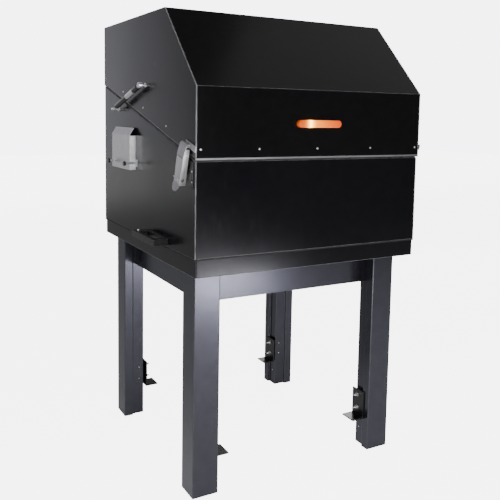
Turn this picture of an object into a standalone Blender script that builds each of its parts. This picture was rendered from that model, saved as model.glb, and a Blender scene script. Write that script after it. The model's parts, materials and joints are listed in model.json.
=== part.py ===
"""Sound and vibration enclosure for a laboratory microscope, on a four-legged stand.

A lined steel tub stands on a plinth and a frame of folded legs. A hinged hood closes it along
a sloping split. Two gas struts carry the hood, and two claw latches hold it down.

Units are metres, +Z is up, the front faces -Y. The origin is on the floor, under the centre of
the whole object. Depths written as DEPTH_* are measured backwards from the hood's front face.
"""

import math

import bmesh
import bpy
from mathutils import Matrix, Vector

# ---------------------------------------------------------------- driving dimensions
WIDTH = 0.760            # outside width of the hood
DEPTH = 0.794            # outside depth of the hood
TOP = 1.382              # height of the hood's flat top
SLOPE_FOOT = 1.158       # height where the sloping front panel meets the upright one
SLOPE_RUN = 0.219        # how far back the sloping panel runs
SPLIT_FRONT = 0.960      # height of the tub's front edge
SPLIT_RISE = 0.2165      # how much higher the tub's rear edge is
TUB_BOTTOM = 0.7035
PLINTH_BOTTOM = 0.6525
PLINTH_SHEET = 0.0025
APRON_BOTTOM = 0.550

SHEET = 0.002            # sheet steel
GAP = 0.0003             # clearance between touching pieces
FOAM = 0.030             # acoustic foam board
TUB_RIM = 0.003          # flange round the tub's edge
TUB_SIDE_INSET = 0.002
TUB_FRONT_INSET = 0.005
PLINTH_SIDE_INSET = 0.005
PLINTH_FRONT_INSET = 0.0055

LEG = 0.080              # outside of the leg profile
LEG_STEP = 0.0075        # how far the inner faces are set back
LEG_STRIP = 0.0315       # width of the strip that isn't set back
LEG_WALL = 0.003
LEG_SIDE_INSET = 0.029   # leg face to hood side
DEPTH_LEG_FRONT = 0.0656
DEPTH_LEG_REAR = 0.741
APRON_SETBACK = 0.058    # leg face to face of the front and rear aprons
SIDE_APRON_SETBACK = 0.045
APRON_THICK = 0.012

RIM_THICK = 0.005        # bright rim under the hood
RIM_WIDTH = 0.028
GASKET_THICK = 0.0041
GASKET_INSET = 0.008
GASKET_WIDTH = 0.016

HINGE_AXIS_OUT = 0.0085  # hinge axis behind the rear face
HINGE_KNUCKLE_R = 0.006
HINGE_PIN_R = 0.0024
HINGE_WIDTH = 0.060
HINGE_X = 0.250
HINGE_LEAF = 0.0025
HINGE_LEAF_HEIGHT = 0.040

LIGHT_LENGTH = 0.147     # status light on the hood's front
LIGHT_HEIGHT = 0.021
LIGHT_PROUD = 0.014
LIGHT_Z = 1.063
LIGHT_WALL = 0.0025

STRUT_OUT = 0.018        # strut axis to hood side
DEPTH_STRUT_LOW = 0.628
STRUT_LOW_Z = 1.097
DEPTH_STRUT_HIGH = 0.371
STRUT_HIGH_Z = 1.169
STRUT_TUBE_R = 0.0085
STRUT_ROD_R = 0.004
STRUT_SOCKET_R = 0.0075
STRUT_SOCKET_HALF = 0.0072
STRUT_TUBE_FROM = 0.020  # distances along the strut from its upper pivot
STRUT_TUBE_TO = 0.236
STRUT_ROD_FROM = 0.028

DEPTH_LATCH = 0.053      # where the latch's centre line crosses the split
LATCH_PLATE = 0.0017
LATCH_WALL = 0.0014
LEVER_HALF = 0.0190      # half width of the lever
CLAW_HALF = 0.0210
LEVER_PIVOT = (0.0105, -0.0100)  # distance out from the hood's side, and above the split
CLAW_PIN = (0.0165, -0.0360)

DEPTH_HANDLE_FRONT = 0.185
DEPTH_HANDLE_REAR = 0.370
HANDLE_Z = 0.711
HANDLE_HEIGHT = 0.018
HANDLE_OUT = 0.045       # grip face to hood side

DEPTH_COVER_FRONT = 0.466
DEPTH_COVER_REAR = 0.646
COVER_LOW = 0.904
COVER_HIGH = 1.015
COVER_OUT = 0.0185
COVER_SHEET = 0.0015
PORT_DEPTHS = (0.500, 0.612)
PORT_HEIGHTS = (0.932, 0.992)
PORT_CORNER = 0.008
THUMB_SCREWS = {"rear": (0.618, 0.925), "front": (0.457, 0.926)}

# ---------------------------------------------------------------- derived values
HALF = WIDTH / 2
FRONT = -(DEPTH + HINGE_AXIS_OUT + HINGE_KNUCKLE_R - LIGHT_PROUD) / 2
REAR = FRONT + DEPTH
SPLIT_SLOPE = SPLIT_RISE / DEPTH
LID_EDGE = 0.010                     # hood's edge above the tub's edge
TUB_HALF = HALF - TUB_SIDE_INSET
TUB_FRONT = FRONT + TUB_FRONT_INSET
LEG_HALF = HALF - LEG_SIDE_INSET
LEG_FRONT = FRONT + DEPTH_LEG_FRONT
LEG_REAR = FRONT + DEPTH_LEG_REAR
PLINTH_TOP = TUB_BOTTOM - GAP
LEG_TOP = PLINTH_TOP - PLINTH_SHEET - GAP
HINGE_Y = REAR + HINGE_AXIS_OUT
FLOOR_TOP = TUB_BOTTOM + 0.003


def split(y):
    """Height of the tub's edge at world y."""
    return SPLIT_FRONT + SPLIT_SLOPE * (y - FRONT)


HINGE_Z = split(REAR) + LID_EDGE / 2

# ---------------------------------------------------------------- materials
MATERIALS = {
    "hood_paint": ((0.012, 0.012, 0.013), 0.32, 0.0),
    "tub_paint": ((0.013, 0.013, 0.014), 0.34, 0.0),
    "stand_paint": ((0.045, 0.046, 0.052), 0.45, 0.0),
    "stainless": ((0.62, 0.62, 0.63), 0.28, 1.0),
    "bright_rim": ((0.55, 0.55, 0.56), 0.40, 0.6),
    "zinc": ((0.70, 0.71, 0.72), 0.30, 1.0),
    "black_hardware": ((0.020, 0.020, 0.022), 0.40, 0.3),
    "foam": ((0.030, 0.030, 0.032), 0.95, 0.0),
    "gasket": ((0.010, 0.010, 0.010), 0.80, 0.0),
    "orange_lens": ((0.95, 0.28, 0.06), 0.20, 0.0),
    "light_board": ((0.85, 0.84, 0.80), 0.50, 0.0),
}


def material(name):
    """The Principled material of that name, made once."""
    found = bpy.data.materials.get(name)
    if found:
        return found
    colour, roughness, metallic = MATERIALS[name]
    made = bpy.data.materials.new(name)
    made.use_nodes = True
    shader = made.node_tree.nodes["Principled BSDF"]
    shader.inputs["Base Color"].default_value = (*colour, 1.0)
    shader.inputs["Roughness"].default_value = roughness
    shader.inputs["Metallic"].default_value = metallic
    made.diffuse_color = (*colour, 1.0)
    return made


# ---------------------------------------------------------------- modelling helpers
def clear_scene():
    for old in list(bpy.data.objects):
        bpy.data.objects.remove(old, do_unlink=True)


def finish(bm, name, finish_name, origin=(0, 0, 0), smooth=False):
    """Makes a named object from a bmesh in world coordinates, with its origin at a point."""
    bmesh.ops.recalc_face_normals(bm, faces=bm.faces)
    bm.transform(Matrix.Translation(-Vector(origin)))
    mesh = bpy.data.meshes.new(name)
    bm.to_mesh(mesh)
    bm.free()
    if smooth:
        mesh.shade_smooth()
        mesh.set_sharp_from_angle(angle=math.radians(35))
    made = bpy.data.objects.new(name, mesh)
    made.location = origin
    made.data.materials.append(material(finish_name))
    bpy.context.scene.collection.objects.link(made)
    return made


def add_box(bm, low, high):
    """An upright box between two corners."""
    made = bmesh.ops.create_cube(bm, size=1.0)["verts"]
    low, high = Vector(low), Vector(high)
    size = high - low
    middle = (low + high) / 2
    for v in made:
        v.co = Vector((v.co.x * size.x, v.co.y * size.y, v.co.z * size.z)) + middle


def place(u, v, w, axis):
    """World point of outline coordinates u, v at w along the axis of extrusion."""
    if axis == "X":
        return Vector((w, u, v))
    if axis == "Y":
        return Vector((u, w, v))
    return Vector((u, v, w))


def add_prism(bm, outline, axis, start, end):
    """Extrudes a closed outline. It holds (y, z), (x, z) or (x, y) for axis X, Y or Z."""
    low = [bm.verts.new(place(u, v, start, axis)) for u, v in outline]
    high = [bm.verts.new(place(u, v, end, axis)) for u, v in outline]
    bm.faces.new(low)
    bm.faces.new(reversed(high))
    count = len(outline)
    for i in range(count):
        j = (i + 1) % count
        bm.faces.new((low[i], high[i], high[j], low[j]))


def add_tube(bm, outer, inner, axis, start, end):
    """Extrudes the ring between two outlines that have the same number of points."""
    rings = [
        [bm.verts.new(place(u, v, w, axis)) for u, v in outline]
        for outline in (outer, inner)
        for w in (start, end)
    ]
    outer_low, outer_high, inner_low, inner_high = rings
    count = len(outer)
    for i in range(count):
        j = (i + 1) % count
        bm.faces.new((outer_low[i], outer_high[i], outer_high[j], outer_low[j]))
        bm.faces.new((inner_low[i], inner_low[j], inner_high[j], inner_high[i]))
        bm.faces.new((outer_low[i], outer_low[j], inner_low[j], inner_low[i]))
        bm.faces.new((outer_high[i], inner_high[i], inner_high[j], outer_high[j]))


def add_turned(bm, profile, centre, direction, segments=16, phase=0.0):
    """Turns a profile of (distance along, radius) about a line. It closes on the line."""
    direction = Vector(direction).normalized()
    turn = direction.to_track_quat("Z", "Y")
    rings = []
    for along, radius in profile:
        ring = []
        for i in range(segments):
            angle = phase + 2 * math.pi * i / segments
            local = Vector((radius * math.cos(angle), radius * math.sin(angle), along))
            ring.append(bm.verts.new(Vector(centre) + turn @ local))
        rings.append(ring)
    bm.faces.new(rings[0])
    bm.faces.new(reversed(rings[-1]))
    for first, second in zip(rings, rings[1:]):
        for i in range(segments):
            j = (i + 1) % segments
            bm.faces.new((first[i], second[i], second[j], first[j]))


def rounded(corners, radius, steps=3):
    """An outline with each convex or concave corner replaced by an arc of that radius."""
    points = []
    count = len(corners)
    for i in range(count):
        before = Vector(corners[i - 1])
        corner = Vector(corners[i])
        after = Vector(corners[(i + 1) % count])
        arrive = (before - corner).normalized()
        leave = (after - corner).normalized()
        half_angle = arrive.angle(leave) / 2
        cut = radius / math.tan(half_angle)
        first = corner + arrive * cut
        last = corner + leave * cut
        centre = corner + (arrive + leave).normalized() * (radius / math.sin(half_angle))
        sweep = (last - centre).angle_signed(first - centre)
        for step in range(steps + 1):
            angle = sweep * step / steps
            arm = first - centre
            points.append((
                centre.x + arm.x * math.cos(angle) - arm.y * math.sin(angle),
                centre.y + arm.x * math.sin(angle) + arm.y * math.cos(angle),
            ))
    return points


def boolean(target, tool, operation):
    """Unites or cuts with the EXACT solver, and hides the tool from the model."""
    change = target.modifiers.new(tool.name, "BOOLEAN")
    change.operation = operation
    change.solver = "EXACT"
    change.object = tool
    tool.hide_render = True
    tool.display_type = "WIRE"


def tool_object(bm, name):
    return finish(bm, "tool_" + name, "black_hardware")


# ---------------------------------------------------------------- stand
def leg_outline(inset):
    """Leg profile from its outer corner inwards, shrunk all round by inset."""
    near = inset
    far = LEG - inset
    back = LEG - LEG_STEP - inset
    strip = LEG_STRIP - inset
    corners = [
        (near, near), (far, near), (far, strip), (back, strip),
        (back, back), (strip, back), (strip, far), (near, far),
    ]
    return rounded(corners, 0.0025 if inset == 0 else 0.001, steps=2)


def leg_places():
    """Name, outer corner and inward direction of each leg."""
    for side, sx in (("left", -1), ("right", 1)):
        for end, y, sy in (("front", LEG_FRONT, 1), ("rear", LEG_REAR, -1)):
            yield f"{end}_{side}", Vector((sx * LEG_HALF, y)), -sx, sy


def at_leg(outline, corner, dx, dy):
    return [(corner.x + dx * u, corner.y + dy * v) for u, v in outline]


def make_legs():
    for name, corner, dx, dy in leg_places():
        bm = bmesh.new()
        outer = at_leg(leg_outline(0), corner, dx, dy)
        inner = at_leg(leg_outline(LEG_WALL), corner, dx, dy)
        add_tube(bm, outer, inner, "Z", 0.0, LEG_TOP)
        finish(bm, "leg_" + name, "stand_paint")


def make_aprons():
    """Four folded channels between the legs, open towards the inside."""
    reach = LEG - LEG_STEP + GAP
    across = LEG_HALF - reach
    for name, face, inward in (("front", LEG_FRONT, 1), ("rear", LEG_REAR, -1)):
        outer = face + inward * APRON_SETBACK
        bm = bmesh.new()
        add_prism(bm, channel(outer, inward), "X", -across, across)
        finish(bm, "apron_" + name, "stand_paint")
    for name, side in (("left", -1), ("right", 1)):
        outer = side * (LEG_HALF - SIDE_APRON_SETBACK)
        bm = bmesh.new()
        add_prism(bm, channel(outer, -side), "Y", LEG_FRONT + reach, LEG_REAR - reach)
        finish(bm, "apron_" + name, "stand_paint")


def channel(face, inward):
    """C-shaped section of an apron, from its outer face inwards."""
    wall = 0.0025
    lip = face + inward * APRON_THICK
    web = face + inward * wall
    top = LEG_TOP
    return [
        (face, APRON_BOTTOM), (lip, APRON_BOTTOM), (lip, APRON_BOTTOM + wall),
        (web, APRON_BOTTOM + wall), (web, top - wall), (lip, top - wall),
        (lip, top), (face, top),
    ]


def make_shelf_brackets():
    """An angle bracket on the inner side of each leg, drilled for its two bolts."""
    wide_from, wide_to = 0.0216, 0.0786
    plate, flange_out = 0.004, 0.044
    low, high = 0.097, 0.187
    bolt_depth, bolt_heights = 0.052, (0.170, 0.127)
    for name, corner, dx, dy in leg_places():
        face = corner.x + dx * (LEG + GAP)
        section = [
            (face, low), (face + dx * flange_out, low),
            (face + dx * flange_out, low + plate), (face + dx * plate, low + plate),
            (face + dx * plate, high), (face, high),
        ]
        start, end = sorted((corner.y + dy * wide_from, corner.y + dy * wide_to))
        bm = bmesh.new()
        add_prism(bm, section, "Y", start, end)
        bracket = finish(bm, "shelf_bracket_" + name, "black_hardware")
        for index, height in enumerate(bolt_heights):
            holes = bmesh.new()
            centre = (face, corner.y + dy * bolt_depth, height)
            add_turned(holes, [(-0.02, 0.0032), (0.02, 0.0032)], centre, (dx, 0, 0), 12)
            boolean(bracket, tool_object(holes, f"bracket_hole_{name}_{index}"), "DIFFERENCE")


def make_base_pan():
    """Plate that carries the tub, with a skirt turned down around the stand's top."""
    x = HALF - PLINTH_SIDE_INSET
    y0, y1 = FRONT + PLINTH_FRONT_INSET, REAR
    wall = PLINTH_SHEET
    outer = rounded([(-x, y0), (x, y0), (x, y1), (-x, y1)], 0.0030, steps=2)
    x, y0, y1 = x - wall, y0 + wall, y1 - wall
    inner = rounded([(-x, y0), (x, y0), (x, y1), (-x, y1)], 0.0005, steps=2)
    bm = bmesh.new()
    add_prism(bm, outer, "Z", PLINTH_BOTTOM, PLINTH_TOP)
    pan = finish(bm, "base_pan", "tub_paint")
    hollow = bmesh.new()
    add_prism(hollow, inner, "Z", PLINTH_BOTTOM - 0.01, PLINTH_TOP - wall)
    boolean(pan, tool_object(hollow, "pan_hollow"), "DIFFERENCE")


# ---------------------------------------------------------------- tub
def add_sloped_frame(bm, half, y0, y1, width, below, above):
    """A flat frame that follows the split, between two offsets from it."""
    rings = []
    for inset in (0.0, width):
        x, front, rear = half - inset, y0 + inset, y1 - inset
        for offset in (below, above):
            corners = ((-x, front), (x, front), (x, rear), (-x, rear))
            rings.append([bm.verts.new((u, v, split(v) + offset)) for u, v in corners])
    outer_low, outer_high, inner_low, inner_high = rings
    for i in range(4):
        j = (i + 1) % 4
        bm.faces.new((outer_low[i], outer_low[j], outer_high[j], outer_high[i]))
        bm.faces.new((inner_low[i], inner_high[i], inner_high[j], inner_low[j]))
        bm.faces.new((outer_low[i], inner_low[i], inner_low[j], outer_low[j]))
        bm.faces.new((outer_high[i], outer_high[j], inner_high[j], inner_high[i]))


def port_outline(inset):
    """Rounded outline of the cable port in Y and Z, shrunk all round by inset."""
    y0, y1 = FRONT + PORT_DEPTHS[0] + inset, FRONT + PORT_DEPTHS[1] - inset
    z0, z1 = PORT_HEIGHTS[0] + inset, PORT_HEIGHTS[1] - inset
    return rounded([(y0, z0), (y1, z0), (y1, z1), (y0, z1)], PORT_CORNER - inset, steps=3)


def port_cutter(name, x0, x1):
    """Block that opens the cable port through a wall."""
    bm = bmesh.new()
    add_prism(bm, port_outline(0.0), "X", x0, x1)
    return tool_object(bm, name)


def make_tub_panels():
    outline = [
        (TUB_FRONT, TUB_BOTTOM), (REAR, TUB_BOTTOM), (REAR, split(REAR)), (TUB_FRONT, split(TUB_FRONT)),
    ]
    for name, side in (("left", -1), ("right", 1)):
        outer, inner = side * TUB_HALF, side * (TUB_HALF - SHEET)
        bm = bmesh.new()
        add_prism(bm, outline, "X", min(outer, inner), max(outer, inner))
        panel = finish(bm, "tub_panel_" + name, "tub_paint")
        if side < 0:
            boolean(panel, port_cutter("port_panel", -HALF - 0.02, -HALF + 0.02), "DIFFERENCE")
    across = TUB_HALF - SHEET - GAP
    for name, y in (("front", TUB_FRONT), ("rear", REAR - SHEET)):
        bm = bmesh.new()
        upright = [(y, TUB_BOTTOM), (y + SHEET, TUB_BOTTOM), (y + SHEET, split(y + SHEET)), (y, split(y))]
        add_prism(bm, upright, "X", -across, across)
        finish(bm, "tub_panel_" + name, "tub_paint")
    bm = bmesh.new()
    y0, y1 = TUB_FRONT + SHEET + GAP, REAR - SHEET - GAP
    add_box(bm, (-across, y0, TUB_BOTTOM), (across, y1, FLOOR_TOP))
    finish(bm, "tub_floor", "tub_paint")


def make_tub_rim_and_gasket():
    half = TUB_HALF - SHEET - GAP
    y0, y1 = TUB_FRONT + SHEET + GAP, REAR - SHEET - GAP
    bm = bmesh.new()
    add_sloped_frame(bm, half, y0, y1, 0.023, -TUB_RIM, 0.0)
    finish(bm, "tub_rim", "tub_paint")
    bm = bmesh.new()
    y0, y1 = FRONT + GASKET_INSET, REAR - GASKET_INSET
    add_sloped_frame(bm, HALF - GASKET_INSET, y0, y1, GASKET_WIDTH, GAP, GAP + GASKET_THICK)
    finish(bm, "split_gasket", "gasket")


def make_tub_foam():
    """Foam boards on the four walls."""
    outer = TUB_HALF - SHEET - GAP
    inner = outer - FOAM
    across = inner - GAP
    y0, y1 = TUB_FRONT + SHEET + GAP, REAR - SHEET - GAP
    bottom, below_rim = FLOOR_TOP + GAP, -TUB_RIM - GAP

    def board(start, end):
        return [
            (start, bottom), (end, bottom),
            (end, split(end) + below_rim), (start, split(start) + below_rim),
        ]

    bm = bmesh.new()
    add_prism(bm, board(y0, y1), "X", -outer, -inner)
    left = finish(bm, "tub_foam_left", "foam")
    cutter = port_cutter("port_foam", -HALF - 0.02, -HALF + 0.05)
    boolean(left, cutter, "DIFFERENCE")
    boards = {
        "right": (y0, y1, inner, outer),
        "front": (y0, y0 + FOAM, -across, across),
        "rear": (y1 - FOAM, y1, -across, across),
    }
    for name, (start, end, x0, x1) in boards.items():
        bm = bmesh.new()
        add_prism(bm, board(start, end), "X", x0, x1)
        finish(bm, "tub_foam_" + name, "foam")


def make_cable_port():
    """Rubber grommet that lines the cable port through panel and foam."""
    bm = bmesh.new()
    depth = SHEET + GAP + FOAM
    outer, inner = port_outline(GAP), port_outline(0.0035)
    add_tube(bm, outer, inner, "X", -TUB_HALF - 0.001, -TUB_HALF + depth)
    finish(bm, "cable_port_grommet", "gasket")


def make_cable_cover():
    """Folded stainless cover over the cable port, open below."""
    y0, y1 = FRONT + DEPTH_COVER_FRONT, FRONT + DEPTH_COVER_REAR
    face = -HALF - COVER_OUT
    foot = -TUB_HALF - GAP
    top_x, top_z = -HALF - 0.0055, COVER_HIGH + 0.023
    lean = Vector((top_x - face, top_z - COVER_HIGH)).normalized()
    across = Vector((lean.y, -lean.x)) * COVER_SHEET
    strip = [
        (face, COVER_LOW), (face + COVER_SHEET, COVER_LOW), (face + COVER_SHEET, COVER_HIGH - 0.0005),
        (top_x + across.x, top_z + across.y), (top_x, top_z), (face, COVER_HIGH),
    ]
    bm = bmesh.new()
    add_prism(bm, strip, "Y", y0, y1)
    cover = finish(bm, "cable_cover", "stainless")
    inset = 0.0002
    for name, near in (("front", y0 + inset), ("rear", y1 - COVER_SHEET - inset)):
        wall = bmesh.new()
        low = (face + COVER_SHEET / 2, near, COVER_LOW + inset)
        add_box(wall, low, (foot, near + COVER_SHEET, COVER_HIGH - 0.002))
        boolean(cover, tool_object(wall, "cover_wall_" + name), "UNION")
    tab_depth, tab_z = THUMB_SCREWS["front"]
    tab_y = FRONT + tab_depth
    tab = bmesh.new()
    low = (foot - COVER_SHEET, tab_y - 0.009, tab_z - 0.011)
    add_box(tab, low, (foot - inset, y0 + 0.0010, tab_z + 0.011))
    boolean(cover, tool_object(tab, "cover_tab"), "UNION")
    for name, (depth, z) in THUMB_SCREWS.items():
        hole = bmesh.new()
        add_turned(hole, [(-0.03, 0.0032), (0.03, 0.0032)], (face, FRONT + depth, z), (-1, 0, 0), 12)
        boolean(cover, tool_object(hole, "cover_hole_" + name), "DIFFERENCE")


def make_thumb_screws():
    """Long bright screws with round heads, which hold the cable cover."""
    for name, (depth, z) in THUMB_SCREWS.items():
        foot = -TUB_HALF - GAP
        head_face = -HALF - 0.0425
        length = foot - head_face
        profile = [
            (0.0, 0.0028), (length - 0.0070, 0.0028), (length - 0.0070, 0.0062),
            (length - 0.0010, 0.0068), (length, 0.0056),
        ]
        centre = (foot, FRONT + depth, z)
        bm = bmesh.new()
        add_turned(bm, profile, centre, (-1, 0, 0), 12)
        finish(bm, "thumb_screw_" + name, "stainless", origin=centre, smooth=True)


def make_side_handles():
    """A bridge handle low on each side of the tub."""
    y0, y1 = FRONT + DEPTH_HANDLE_FRONT, FRONT + DEPTH_HANDLE_REAR
    z0, z1 = HANDLE_Z, HANDLE_Z + HANDLE_HEIGHT
    for name, side in (("left", -1), ("right", 1)):
        foot = side * (TUB_HALF + GAP)
        grip = side * (HALF + HANDLE_OUT)
        corners = [(foot, y0), (grip, y0), (grip, y1), (foot, y1)]
        window_out = side * (HALF + HANDLE_OUT - 0.014)
        window_in = side * (TUB_HALF + 0.006)
        block = 0.024
        hole = [
            (window_in, y0 + block), (window_out, y0 + block),
            (window_out, y1 - block), (window_in, y1 - block),
        ]
        bm = bmesh.new()
        add_tube(bm, rounded(corners, 0.0015, steps=2), rounded(hole, 0.004, steps=2), "Z", z0, z1)
        finish(bm, "side_handle_" + name, "black_hardware")


# ---------------------------------------------------------------- latches
# Each latch stands square to the split, so it leans. It is drawn upright first, with outlines
# given by distance out from the hood's side and height above the split.
LATCH_Y = FRONT + DEPTH_LATCH
LATCH_CENTRE = Vector((0.0, LATCH_Y, split(LATCH_Y)))
LATCH_LEAN = Matrix.Rotation(math.atan(SPLIT_SLOPE), 3, "X")


def on_side(points, side):
    """Outline in X and Z of points (out, above the split), for an upright latch."""
    return [(side * (HALF + out), LATCH_CENTRE.z + above) for out, above in points]


def upright(point, side):
    """World point on the centre line of an upright latch."""
    x, z = on_side([point], side)[0]
    return Vector((x, LATCH_Y, z))


def leaned(point):
    return LATCH_CENTRE + LATCH_LEAN @ (point - LATCH_CENTRE)


def lean(bm):
    """Leans an upright bmesh with its latch."""
    bmesh.ops.rotate(bm, verts=bm.verts, cent=LATCH_CENTRE, matrix=LATCH_LEAN)
    return bm


def add_pair(bm, outline, outer, inner):
    """Extrudes an outline twice, between inner and outer on both sides of the centre line."""
    add_prism(bm, outline, "Y", LATCH_Y - outer, LATCH_Y - inner)
    add_prism(bm, outline, "Y", LATCH_Y + inner, LATCH_Y + outer)


def add_strip(bm, rows, side):
    """A bent strip. Each row holds its height above the split, half width and outer surface."""
    loops = []
    for above, half, out in rows:
        z = LATCH_CENTRE.z + above
        near, far = side * (HALF + out - LATCH_WALL), side * (HALF + out)
        corners = ((near, -half), (far, -half), (far, half), (near, half))
        loops.append([bm.verts.new((x, LATCH_Y + across, z)) for x, across in corners])
    bm.faces.new(loops[0])
    bm.faces.new(reversed(loops[-1]))
    for first, second in zip(loops, loops[1:]):
        for i in range(4):
            j = (i + 1) % 4
            bm.faces.new((first[i], second[i], second[j], first[j]))


def make_latch(name, side):
    make_latch_base(name, side)
    make_latch_lever(name, side)
    make_latch_claw(name, side)


def make_latch_base(name, side):
    """Plate on the tub, cut along the split, and two ears with the lever's pivot in them."""
    foot = GAP - TUB_SIDE_INSET
    y0, y1, low, below = FRONT + 0.016, FRONT + 0.088, 0.895, 0.006
    plate = [(y0, low), (y1, low), (y1, split(y1) - below), (y0, split(y0) - below)]
    ends = sorted((side * (HALF + foot), side * (HALF + foot + LATCH_PLATE)))
    bm = bmesh.new()
    add_prism(bm, plate, "X", *ends)
    base = finish(bm, "latch_base_" + name, "black_hardware")
    reach = 0.0050
    out, above = LEVER_PIVOT
    outline = [(foot + LATCH_PLATE / 2, above - 0.009)]
    for step in range(7):
        angle = math.radians(-90 + 180 * step / 6)
        outline.append((out + reach * math.cos(angle), above + reach * math.sin(angle)))
    outline.append((foot + LATCH_PLATE / 2, above + reach))
    ears = bmesh.new()
    add_pair(ears, on_side(outline, side), 0.0160, 0.0146)
    boolean(base, tool_object(lean(ears), "latch_ears_" + name), "UNION")
    rivet = bmesh.new()
    add_turned(rivet, [(-0.0192, 0.0025), (0.0192, 0.0025)], upright(LEVER_PIVOT, side), (0, 1, 0), 12)
    boolean(base, tool_object(lean(rivet), "latch_pivot_" + name), "UNION")


def make_latch_lever(name, side):
    """Folded lever: a face with a flared, rounded tip, two side walls, and the claw's pin."""
    pivot = upright(LEVER_PIVOT, side)
    rows = [
        (-0.0030, LEVER_HALF, 0.0205), (-0.0740, LEVER_HALF, 0.0225), (-0.0840, 0.0182, 0.0250),
        (-0.0900, 0.0155, 0.0268), (-0.0945, 0.0110, 0.0282), (-0.0970, 0.0045, 0.0290),
    ]
    bm = bmesh.new()
    add_strip(bm, rows, side)
    lever = finish(lean(bm), "latch_lever_" + name, "stainless", origin=leaned(pivot))
    wall = [
        (0.0198, -0.0040), (0.0218, -0.0740), (0.0205, -0.0780), (0.0040, -0.0780),
        (0.0040, -0.0055), (0.0060, -0.0035),
    ]
    walls = bmesh.new()
    add_pair(walls, on_side(wall, side), LEVER_HALF - 0.0001, LEVER_HALF - LATCH_WALL)
    boolean(lever, tool_object(lean(walls), "lever_walls_" + name), "UNION")
    rivet = bmesh.new()
    pin_ends = [(-CLAW_HALF - 0.0008, 0.0021), (CLAW_HALF + 0.0008, 0.0021)]
    add_turned(rivet, pin_ends, upright(CLAW_PIN, side), (0, 1, 0), 12)
    boolean(lever, tool_object(lean(rivet), "claw_pin_" + name), "UNION")
    for hole, centre, radius in (("bore", pivot, 0.0028), ("eye", upright((0.0130, -0.0630), side), 0.0045)):
        cutter = bmesh.new()
        add_turned(cutter, [(-0.03, radius), (0.03, radius)], centre, (0, 1, 0), 16)
        boolean(lever, tool_object(lean(cutter), f"lever_{hole}_{name}"), "DIFFERENCE")


def make_latch_claw(name, side):
    """Claw that the lever pulls down over the keeper: a hooked plate with two side legs."""
    pin = upright(CLAW_PIN, side)
    foot, bend, radius, lip_out, lip_end = -0.0005, 0.0280, 0.0085, 0.0045, 0.0318
    top_out = 0.0165
    outer = [(0.0212, foot), (top_out, bend)]
    inner = [(0.0212 - LATCH_WALL, foot), (top_out - LATCH_WALL, bend)]
    for step in range(1, 6):
        angle = math.radians(90 * step / 5)
        for reach, outline in ((radius, outer), (radius - LATCH_WALL, inner)):
            outline.append((top_out - radius + reach * math.cos(angle), bend + reach * math.sin(angle)))
    outer += [(lip_out, bend + radius), (lip_out, lip_end)]
    inner += [(lip_out + LATCH_WALL, bend + radius - LATCH_WALL), (lip_out + LATCH_WALL, lip_end)]
    bm = bmesh.new()
    hook = on_side(outer + inner[::-1], side)
    add_prism(bm, hook, "Y", LATCH_Y - CLAW_HALF, LATCH_Y + CLAW_HALF)
    claw = finish(lean(bm), "latch_claw_" + name, "stainless", origin=leaned(pin))
    leg = [
        (0.0048, 0.0235), (0.0048, -0.0200), (0.0112, -0.0380), (0.0135, -0.0410), (0.0190, -0.0410),
        (0.0212, -0.0385), (0.0205, 0.0010), (0.0166, 0.0235),
    ]
    legs = bmesh.new()
    add_pair(legs, on_side(leg, side), CLAW_HALF - 0.0001, CLAW_HALF - LATCH_WALL)
    boolean(claw, tool_object(lean(legs), "claw_legs_" + name), "UNION")
    bore = bmesh.new()
    add_turned(bore, [(-0.03, 0.0024), (0.03, 0.0024)], pin, (0, 1, 0), 12)
    boolean(claw, tool_object(lean(bore), "claw_bore_" + name), "DIFFERENCE")


def make_keepers():
    """Plates on the hood, each with an upturned arm that its claw pulls on."""
    plate = [(GAP, 0.0250), (GAP + 0.0020, 0.0250), (GAP + 0.0020, 0.0410), (GAP, 0.0410)]
    arm = [
        (GAP + 0.0010, 0.0265), (0.0120, 0.0265), (0.0120, 0.0330), (0.0100, 0.0330),
        (0.0100, 0.0285), (GAP + 0.0010, 0.0285),
    ]
    for name, side in (("left", -1), ("right", 1)):
        bm = bmesh.new()
        add_prism(bm, on_side(plate, side), "Y", LATCH_Y - 0.0500, LATCH_Y + 0.0150)
        keeper = finish(lean(bm), "latch_keeper_" + name, "stainless")
        hook = bmesh.new()
        add_prism(hook, on_side(arm, side), "Y", LATCH_Y - 0.0140, LATCH_Y + 0.0140)
        boolean(keeper, tool_object(lean(hook), "keeper_arm_" + name), "UNION")


# ---------------------------------------------------------------- hood
def hood_outline():
    """Side outline of the hood, in Y and Z."""
    return [
        (FRONT, split(FRONT) + LID_EDGE), (REAR, split(REAR) + LID_EDGE), (REAR, TOP),
        (FRONT + SLOPE_RUN, TOP), (FRONT, SLOPE_FOOT),
    ]


def wrap_line(offset):
    """Front, sloping and top surfaces of the hood, moved inwards by offset."""
    slope_angle = math.atan2(TOP - SLOPE_FOOT, SLOPE_RUN)
    lower = offset * math.tan((math.pi / 2 - slope_angle) / 2)
    upper = offset * math.tan(slope_angle / 2)
    return [
        (FRONT + offset, split(FRONT + offset) + LID_EDGE),
        (FRONT + offset, SLOPE_FOOT - lower),
        (FRONT + SLOPE_RUN + upper, TOP - offset),
    ]


def make_hood_panels():
    """Side plates, and one folded sheet for the front, slope, top and rear."""
    for name, side in (("left", -1), ("right", 1)):
        outer, inner = side * HALF, side * (HALF - SHEET)
        bm = bmesh.new()
        add_prism(bm, hood_outline(), "X", min(outer, inner), max(outer, inner))
        finish(bm, "hood_panel_" + name, "hood_paint")
    across = HALF - SHEET - GAP
    back = REAR - SHEET
    outer = wrap_line(0) + [(REAR, TOP), (REAR, split(REAR) + LID_EDGE)]
    inner = wrap_line(SHEET) + [(back, TOP - SHEET), (back, split(back) + LID_EDGE)]
    bm = bmesh.new()
    add_prism(bm, outer + inner[::-1], "X", -across, across)
    finish(bm, "hood_wrap", "hood_paint")


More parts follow.
